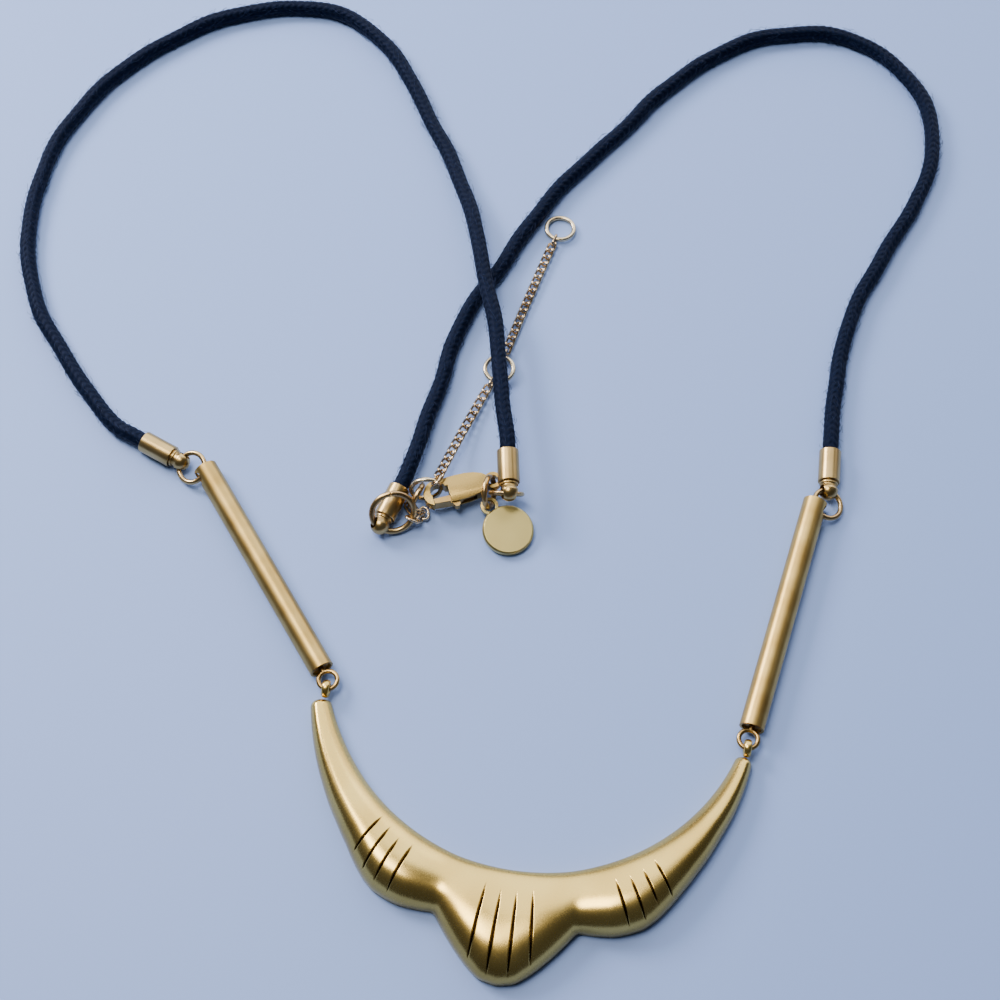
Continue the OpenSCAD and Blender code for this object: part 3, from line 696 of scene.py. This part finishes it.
# %% One link
# Half of a link's straight side, radius of its ends, radius of its wire, and height of its twist
LINK_HALF, LINK_R, LINK_WIRE, LINK_TWIST = 0.38, 0.58, 0.205, -0.31
END_LINK_R, FIRST_LINK_R = 0.63, 0.7
AROUND_LINK = 36
AROUND_WIRE = 12


def link_mesh(r, twist):
    """One link about the origin, its long way along X, as a closed grid."""
    t = 2 * np.pi * (np.arange(AROUND_LINK) + 0.5) / AROUND_LINK
    line = np.stack([np.sign(np.cos(t)) * LINK_HALF + r * np.cos(t), r * np.sin(t),
                     twist * np.sin(2 * t)], axis=1)
    along = np.roll(line, -1, axis=0) - np.roll(line, 1, axis=0)
    along /= np.linalg.norm(along, axis=1)[:, None]
    side = np.cross([0.0, 0.0, 1.0], along)
    side /= np.linalg.norm(side, axis=1)[:, None]
    up = np.cross(along, side)

    def place(column, row):
        i = column % AROUND_LINK
        a = 2 * np.pi * (row % AROUND_WIRE) / AROUND_WIRE
        out = np.cos(a)[:, None] * side[i] + np.sin(a)[:, None] * up[i]
        return (line[i] + LINK_WIRE * out) * MM, {}

    return grid_mesh("link", AROUND_LINK, AROUND_WIRE, place)


CURB = link_mesh(LINK_R, LINK_TWIST)
END = link_mesh(END_LINK_R, 0)
FIRST = link_mesh(FIRST_LINK_R, 0)
print("faces of one link:", len(CURB.polygons))

# %% Poses of the links
# From the middle of an end link to the middle of the link beside it
END_LINK_GAP = 1.42
# Roll of the last link about the chain's own line: the links between the ends lie flat
LAST_ROLL = 90
CURVE_STEPS = 400


def turned(place, heading, dip, roll):
    """A pose in millimetres and degrees: roll about X, dip about Y, heading about Z."""
    h, d, r = (math.radians(v) for v in (heading, dip, roll))
    return (Matrix.Translation(Vector(place) * MM) @ Matrix.Rotation(h, 4, "Z")
            @ Matrix.Rotation(d, 4, "Y") @ Matrix.Rotation(r, 4, "X"))


def curve_poses(curve, count, first_roll):
    """Poses along a curve with one control point: an end link, the curb links and an end link."""
    p = np.array(curve)
    u = np.linspace(0, 1, CURVE_STEPS + 1)[:, None]
    line = (1 - u) ** 2 * p[0] + 2 * u * (1 - u) * p[1] + u ** 2 * p[2]
    run = np.concatenate([[0], np.cumsum(np.linalg.norm(np.diff(line, axis=0), axis=1))])
    first = LINK_HALF + END_LINK_GAP
    places = np.concatenate([[LINK_HALF], np.linspace(first, run[-1] - first, count),
                             [run[-1] - LINK_HALF]])
    rolls = [first_roll] + [0] * count + [LAST_ROLL]
    poses = []
    for distance, roll in zip(places, rolls):
        v = np.interp(distance, run, u[:, 0])
        at = (1 - v) ** 2 * p[0] + 2 * v * (1 - v) * p[1] + v ** 2 * p[2]
        d = (1 - v) * (p[1] - p[0]) + v * (p[2] - p[1])
        d /= np.linalg.norm(d)
        heading, dip = math.degrees(math.atan2(d[1], d[0])), -math.degrees(math.asin(d[2]))
        poses.append(turned(at, heading, dip, roll))
    return poses


print("from an end link to the link beside it, mm:", END_LINK_GAP)

# %% Link the chains
INNER_LINKS, OUTER_LINKS = 14, 16
INNER_ROLL, OUTER_ROLL = -50, 90
# Each curve's start, control point and end
INNER_CURVE = [(-20.369, 65.371, 4.651), (-18.6, 75.5, 0.6), (-14.746, 86.477, 0.8)]
OUTER_CURVE = [(-13.589, 90.812, 0.8), (-11.6, 101.5, 0.55), (-8.522, 114.411, 0.8)]
# Columns: place of the link, heading, dip, roll, radius of its ends
START_LINKS = [((-23.09, 59.87, 1.89), -8.4, 15.1, -49.8, 0.72),
               ((-22.1, 60.47, 1.03), 53.5, 37.3, 75.2, 0.62),
               ((-21.64, 61.67, 0.72), 109.1, -0.1, 1.1, 0.62),
               ((-22.59, 61.71, 0.93), 181.4, -7.5, 85.6, 0.62),
               ((-23.74, 62.08, 1.13), 134.2, -21.4, -20.9, 0.72)]


def add_chain(name, node_name, links, poses):
    """A chain piece: a copy of each link at its pose, in one mesh."""
    meshes = []
    for link, pose in zip(links, poses):
        copy = link.copy()
        copy.transform(pose)
        meshes.append(copy)
    chain = add_piece(name, joined(name, meshes), "necklace")
    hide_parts(node_name)
    pieces[node_name] = chain
    print(name, "links:", len(meshes), "faces:", len(chain.data.polygons))


add_chain("starting_links", "chain_start", [link_mesh(row[4], 0) for row in START_LINKS],
          [turned(*row[:4]) for row in START_LINKS])
add_chain("inner_curb_chain", "chain_inner", [FIRST] + [CURB] * INNER_LINKS + [END],
          curve_poses(INNER_CURVE, INNER_LINKS, INNER_ROLL))
add_chain("outer_curb_chain", "chain_outer", [END] + [CURB] * OUTER_LINKS + [END],
          curve_poses(OUTER_CURVE, OUTER_LINKS, OUTER_ROLL))

# %% [markdown]
# ## Softened castings and turnings
# The caps, tubes, clasp and tag come from the frame with perfectly sharp edges, and no real metal
# part has those: even a crisp edge catches a thin line of light. Each piece is copied, its loose
# triangles are merged, and its sharp edges are rounded with a bevel, by less than a fifth of a
# millimetre. Normals weighted by face area keep the flat faces flat beside the small rounds.

# %% Softened copies
# Faces that meet at more than SHARP_A degrees get a round edge, at less than FLAT_A they become one
SHARP_A = 28.0
FLAT_A = 0.5
# Points nearer to each other than this become one
TOUCHING_M = 2e-6
# Columns: node, width of the rounding in millimetres
SOFTENED = [("tube_left", 0.07), ("tube_right", 0.07), ("tube_eye_left", 0.05),
            ("tube_eye_right", 0.05), ("cap_front_left", 0.04), ("cap_front_right", 0.04),
            ("cap_back_left", 0.04), ("cap_back_right", 0.04), ("tag", 0.17), ("clasp_body", 0.14),
            ("clasp_lever", 0.1)]


def weigh_normals(mesh):
    """Sets each point's normal to the area-weighted mean of its faces."""
    sums = np.zeros((len(mesh.vertices), 3))
    for face in mesh.polygons:
        sums[list(face.vertices)] += np.array(face.normal) * face.area
    mesh.normals_split_custom_set_from_vertices(sums / np.linalg.norm(sums, axis=1)[:, None])


def soften(node_name, width_mm):
    """A copy of a frame node with rounded edges, in that node's place."""
    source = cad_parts[node_name]
    bm = bmesh.new()
    bm.from_mesh(source.data)
    bmesh.ops.remove_doubles(bm, verts=bm.verts, dist=TOUCHING_M)
    bmesh.ops.dissolve_limit(bm, angle_limit=math.radians(FLAT_A), verts=bm.verts, edges=bm.edges)
    sharp = [e for e in bm.edges if e.calc_face_angle(0) > math.radians(SHARP_A)]
    round_edges(bm, sharp, width_mm)
    bmesh.ops.recalc_face_normals(bm, faces=bm.faces)
    mesh = bpy.data.meshes.new(node_name + "_soft")
    bm.to_mesh(mesh)
    bm.free()
    body = "lever" if node_name == "clasp_lever" else "necklace"
    piece = add_piece(node_name + "_soft", mesh, body)
    weigh_normals(mesh)
    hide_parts(node_name)
    return piece


for node_name, width in SOFTENED:
    pieces[node_name] = soften(node_name, width)
    print(node_name, "faces:", len(pieces[node_name].data.polygons))

# %% [markdown]
# ## Tools for materials
# Colours are written as the hex values that a colour picker shows. Blender's shaders work in linear
# light, so one function turns them. A second function adds one node to a material with its settings
# and links, which keeps each recipe short enough to read.

# %% Colour and node helpers
# A Mix node has several inputs and outputs of one name. These are the numbers of those for colour:
# the share is input 0, the two colours are inputs 6 and 7, and the result is output 2.
MIXED_COLOUR = 2


def linear(hex_colour):
    """An sRGB hex colour as linear RGBA."""
    values = [int(hex_colour[i:i + 2], 16) / 255 for i in (1, 3, 5)]
    return tuple(v / 12.92 if v <= 0.04045 else ((v + 0.055) / 1.055) ** 2.4
                 for v in values) + (1.0,)


def node(material, kind, settings=None, stops=(), **inputs):
    """Adds a node. Inputs are values, or (node, output) pairs to link from, and i2 is input 2.
    Stops are the (place, hex colour) pairs of a colour ramp."""
    tree = material.node_tree
    made = tree.nodes.new("ShaderNode" + kind)
    for key, value in (settings or {}).items():
        setattr(made, key, value)
    for key, value in inputs.items():
        numbered = key[0] == "i" and key[1:].isdigit()
        socket = made.inputs[int(key[1:]) if numbered else key.replace("_", " ")]
        if isinstance(value, tuple) and len(value) == 2 and hasattr(value[0], "outputs"):
            tree.links.new(value[0].outputs[value[1]], socket)
        else:
            socket.default_value = value
    if stops:
        elements = made.color_ramp.elements
        while len(elements) < len(stops):
            elements.new(0.5)
        for element, (place, colour) in zip(elements, stops):
            element.position = place
            element.color = linear(colour)
    return made


def new_material(name):
    """A material with an empty node tree."""
    material = bpy.data.materials.new(name)
    material.use_nodes = True
    material.node_tree.nodes.clear()
    return material


print("the grey #808080 in linear light:", round(linear("#808080")[0], 3))

# %% [markdown]
# ## Plated metal
# Everything hard on this necklace is plated in gold, and each kind of part is finished in its own way:
# the pendant is cast and tumbled, the tubes are drawn and brushed along their length, and the chain
# is bright drawn wire. One recipe holds what they share. A metal's colour is its reflection, so the base
# colour is the gold itself and metallic is 1. A slow noise thins the plating towards a browner tone,
# a fine noise breaks up the gloss as tumbling does, and the bump stays far too small to change the
# shape. Real grain is finer than the render can show, so it is drawn as coarse as 0.3 mm. Antique
# plating keeps a dark patina wherever the polishing wheel can't reach, so the pendant's own
# attributes darken its engraving. They also darken its walls, its back and the foot of its top,
# partly as patina and partly as painted shade for a contact shadow and a dark reflection there.

# %% The plating recipe
GRAIN_MM = 0.3
BRUSH_STRETCH = 14
# How much glossier and duller than its mean roughness the grain makes a metal
GLOSSIER, DULLER = 0.012, 0.018


def plated(name, gold, worn, rough, bump_mm, patch_mm=5.0, patina_and_shade=None, heading=None):
    """Gold plating with worn patches of patch_mm, brushed along a heading if one is given."""
    m = new_material(name)
    place = (node(m, "TexCoord"), "Object")
    patches = node(m, "TexNoise", Vector=place, Scale=1000 / patch_mm, Detail=1.5, Roughness=0.5)
    tone = node(m, "ValToRGB", stops=[(0.3, worn), (0.65, gold)], Fac=(patches, "Fac"))
    if heading is not None:
        # A noise that is stretched along the heading turns into fine lines
        turn = (0, 0, math.radians(heading))
        stretched = node(m, "Mapping", {"vector_type": "TEXTURE"}, Vector=place, Rotation=turn,
                         Scale=(BRUSH_STRETCH, 1, 1))
        place = (stretched, "Vector")
    grain = node(m, "TexNoise", Vector=place, Scale=1000 / GRAIN_MM, Detail=2.0, Roughness=0.5)
    colour = (tone, "Color")
    # The grooves are darkened as patina, the walls and their foot partly as patina and partly as painted
    # shade
    if patina_and_shade:
        cut = node(m, "Attribute", {"attribute_name": "groove"})
        foot = node(m, "Attribute", {"attribute_name": "foot"})
        both = node(m, "Math", {"operation": "MAXIMUM"}, i0=(cut, "Fac"), i1=(foot, "Fac"))
        patina_and_shade_mix = node(m, "Mix", {"data_type": "RGBA"}, i0=(both, "Value"), i6=colour,
                       i7=linear(patina_and_shade))
        colour = (patina_and_shade_mix, MIXED_COLOUR)
    gloss = node(m, "MapRange", Value=(grain, "Fac"), From_Min=0.3, From_Max=0.7,
                 To_Min=rough - GLOSSIER, To_Max=rough + DULLER)
    bump = node(m, "Bump", Height=(grain, "Fac"), Strength=0.5, Distance=bump_mm * MM)
    shader = node(m, "BsdfPrincipled", Base_Color=colour, Metallic=1.0, Roughness=(gloss, "Result"),
                  Normal=(bump, "Normal"))
    node(m, "OutputMaterial", Surface=(shader, "BSDF"))
    return m


print("grain of the plating, mm:", GRAIN_MM)

# %% The metals
# The numbers are the roughness, the height of the bump and the size of the worn patches.
# Worn antique gold, satin from tumbling, with the cast grooves left dark as patina, and the walls and
# their foot darkened partly as patina and partly as painted shade
PENDANT_GOLD = plated("cast_plated_gold", "#d8b866", "#caa858", 0.26, 0.0004, 9.0, "#2a1c0c")
# Drawn tube, brushed along its length. Both tubes are one metal, and the left one's darker colour is
# painted shade
SHADED_LEFT_TUBE_GOLD = plated("shaded_brushed_gold_left_tube", "#b89a5a", "#a28346", 0.36, 0.004, 4.0,
                        heading=-51.36)
TUBE_RIGHT_GOLD = plated("brushed_gold_right_tube", "#c9a962", "#b28f4c", 0.36, 0.004, 4.0,
                         heading=-99.35)
# Turned caps, with fine marks that run the way that most of the caps point
CAP_GOLD = plated("turned_cap_gold", "#c4a76e", "#a4864e", 0.3, 0.002, heading=-84)
# Small fittings are browner, because polishing hardly reaches them
FITTING_GOLD = plated("dark_fitting_gold", "#b8965a", "#8a6a38", 0.28, 0.002)
RING_GOLD = plated("drawn_ring_gold", "#c8aa72", "#a4855a", 0.28, 0.0012)
# Flat satin faces need almost no bump, because on a flat face it shows as speckle
TAG_GOLD = plated("stamped_tag_gold", "#c8b776", "#c0ae6e", 0.33, 0.0001)
CLASP_GOLD = plated("tumbled_clasp_gold", "#aa8e51", "#a1854a", 0.28, 0.0002)
# The extender is drawn wire with the brightest and palest plating
ROSE_GOLD = plated("bright_rose_gold", "#e4cfac", "#b89e78", 0.22, 0.0006)
PALE_GOLD = plated("pale_ring_gold", "#dccca8", "#c2ad86", 0.26, 0.001)

print("nodes in the pendant's metal:", len(PENDANT_GOLD.node_tree.nodes))

# %% Finish each piece
FINISHES = {
    "pendant": PENDANT_GOLD, "tube_left": SHADED_LEFT_TUBE_GOLD, "tube_right": TUBE_RIGHT_GOLD,
    "tube_eye_left": FITTING_GOLD, "tube_eye_right": FITTING_GOLD,
    "ring_front_left": RING_GOLD, "ring_front_right": RING_GOLD, "ring_cap": RING_GOLD,
    "ring_clasp": RING_GOLD, "ring_back": RING_GOLD, "ring_chain": RING_GOLD,
    "cap_front_left": CAP_GOLD, "cap_front_right": CAP_GOLD, "cap_back_left": CAP_GOLD,
    "cap_back_right": CAP_GOLD, "tag": TAG_GOLD, "clasp_body": CLASP_GOLD,
    "clasp_lever": FITTING_GOLD, "extender_ring_inner": PALE_GOLD,
    "extender_ring_middle": PALE_GOLD, "extender_ring_end": PALE_GOLD,
    "chain_start": ROSE_GOLD, "chain_inner": ROSE_GOLD, "chain_outer": ROSE_GOLD}


def finish_piece(piece, material):
    """Gives a piece one material in place of those that it had."""
    piece.data.materials.clear()
    piece.data.materials.append(material)


for node_name, material in FINISHES.items():
    finish_piece(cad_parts[node_name], material)
    finish_piece(pieces[node_name], material)
print("plated pieces:", len(FINISHES), "metals:", len({m.name for m in FINISHES.values()}))

# %% [markdown]
# ## Waxed cotton
# The cord is dyed a blue so deep that it reads as black, and a light coat of wax gives it a dull
# shine on the crowns of the yarns. The braid's own attributes carry the pattern: the place across a
# yarn gives painted shade at its edges, where it dips under its neighbours, and a noise stretched
# along the yarn draws its fibres. The loose fibres of the nap are each too thin to show a pattern, so
# they have one plain blue.

# %% The cord's material
# How fast the streaks change across a yarn, along it, and from one yarn to the next
STREAKS = (3.0, 0.8, 7.3)
STREAK_BUMP_MM = 0.03
# Place across a yarn from which painted shade darkens it, where it dips under its neighbours, and the
# share of light that is left at its edge
EDGE_FROM, EDGE_SHADE = 0.5, 0.35


def waxed_cotton(name):
    """Dyed cotton whose streaks and painted edge shade follow the yarns."""
    m = new_material(name)
    across = node(m, "Attribute", {"attribute_name": "across"})
    along = node(m, "Attribute", {"attribute_name": "yarn_run"})
    yarn = node(m, "Attribute", {"attribute_name": "yarn"})
    fibres = node(m, "CombineXYZ", X=(across, "Fac"), Y=(along, "Fac"), Z=(yarn, "Fac"))
    stretched = node(m, "Mapping", Vector=(fibres, "Vector"), Scale=STREAKS)
    streaks = node(m, "TexNoise", Vector=(stretched, "Vector"), Scale=2.0, Detail=3.0)
    dye = node(m, "ValToRGB", stops=[(0.3, "#02040b"), (0.55, "#060c1c"), (0.78, "#101e3e")],
               Fac=(streaks, "Fac"))
    # Painted shade: each yarn darkens towards its edges, where it dips under its neighbours
    edge = node(m, "Math", {"operation": "ABSOLUTE"}, i0=(across, "Fac"))
    dark = node(m, "MapRange", Value=(edge, "Value"), From_Min=EDGE_FROM, From_Max=1.0,
                To_Min=1.0, To_Max=EDGE_SHADE)
    shade = node(m, "Mix", {"data_type": "RGBA", "blend_type": "MULTIPLY"}, i0=1.0,
                 i6=(dye, "Color"), i7=(dark, "Result"))
    bump = node(m, "Bump", Height=(streaks, "Fac"), Strength=0.5, Distance=STREAK_BUMP_MM * MM)
    shader = node(m, "BsdfPrincipled", Base_Color=(shade, MIXED_COLOUR), Roughness=0.58, IOR=1.32,
                  Specular_Tint=linear("#6478ac"), Normal=(bump, "Normal"))
    node(m, "OutputMaterial", Surface=(shader, "BSDF"))
    return m


COTTON = waxed_cotton("waxed_cotton")
FIBRE = new_material("cotton_fibre")
fibre_shader = node(FIBRE, "BsdfPrincipled", Base_Color=linear("#101e3c"), Roughness=0.7, IOR=1.3)
node(FIBRE, "OutputMaterial", Surface=(fibre_shader, "BSDF"))
for cord, nap in ((cord_left, nap_left), (cord_right, nap_right)):
    finish_piece(cord, COTTON)
    finish_piece(nap, FIBRE)

print("nodes in the cotton:", len(COTTON.node_tree.nodes))

# %% [markdown]
# ## The table and the light
# The necklace lies on a pale table under soft daylight. A wide lamp far behind it stands for a window
# and gives the metal its long gloss. Two small lamps, one above and one at the left, draw crisp
# highlights, and a low lamp at the back right reaches the inner side of the crescent. A plain pale
# sky fills the shadows.

# %% Table
TABLE_MM = 1600.0

bm = bmesh.new()
bmesh.ops.create_grid(bm, x_segments=1, y_segments=1, size=TABLE_MM / 2 * MM)
table_mesh = bpy.data.meshes.new("table")
bm.to_mesh(table_mesh)
bm.free()
table = bpy.data.objects.new("table", table_mesh)
bpy.context.scene.collection.objects.link(table)

TABLE_PAINT = new_material("pale_table_paint")
paint = node(TABLE_PAINT, "BsdfPrincipled", Base_Color=linear("#859fd4"), Roughness=0.6)
node(TABLE_PAINT, "OutputMaterial", Surface=(paint, "BSDF"))
finish_piece(table, TABLE_PAINT)

print("table, mm across:", TABLE_MM)

# %% Lamps and sky
# Columns: name, place, the point that it faces, size, watts, colour
LAMPS = [("key_light", (-130, 90, 470), (-30, 80, 0), 200, 2.0, "#fffaf2"),
         ("window_light", (-40, 930, 640), (-10, 60, 0), 1150, 13.5, "#f2f5ff"),
         ("left_light", (-430, 300, 320), (-10, 60, 0), 200, 4.4, "#fbf8ff"),
         ("right_back_light", (560, 800, 260), (-10, 40, 0), 600, 2.6, "#f6f5ff")]
SKY_STRENGTH = 0.12


def area_light(name, at, target, size_mm, watts, colour):
    """A square lamp at one place that faces another."""
    data = bpy.data.lights.new(name, "AREA")
    data.shape = "SQUARE"
    data.size = size_mm * MM
    data.energy = watts
    data.color = linear(colour)[:3]
    lamp = bpy.data.objects.new(name, data)
    bpy.context.scene.collection.objects.link(lamp)
    lamp.location = Vector(at) * MM
    lamp.rotation_euler = ((Vector(target) - Vector(at)) * MM).to_track_quat("-Z", "Y").to_euler()


for lamp_row in LAMPS:
    area_light(*lamp_row)

world = bpy.data.worlds.new("soft_sky")
bpy.context.scene.world = world
world.use_nodes = True
sky = world.node_tree.nodes["Background"]
sky.inputs["Color"].default_value = linear("#c3cfe6")
sky.inputs["Strength"].default_value = SKY_STRENGTH
print("lamps:", len(LAMPS))
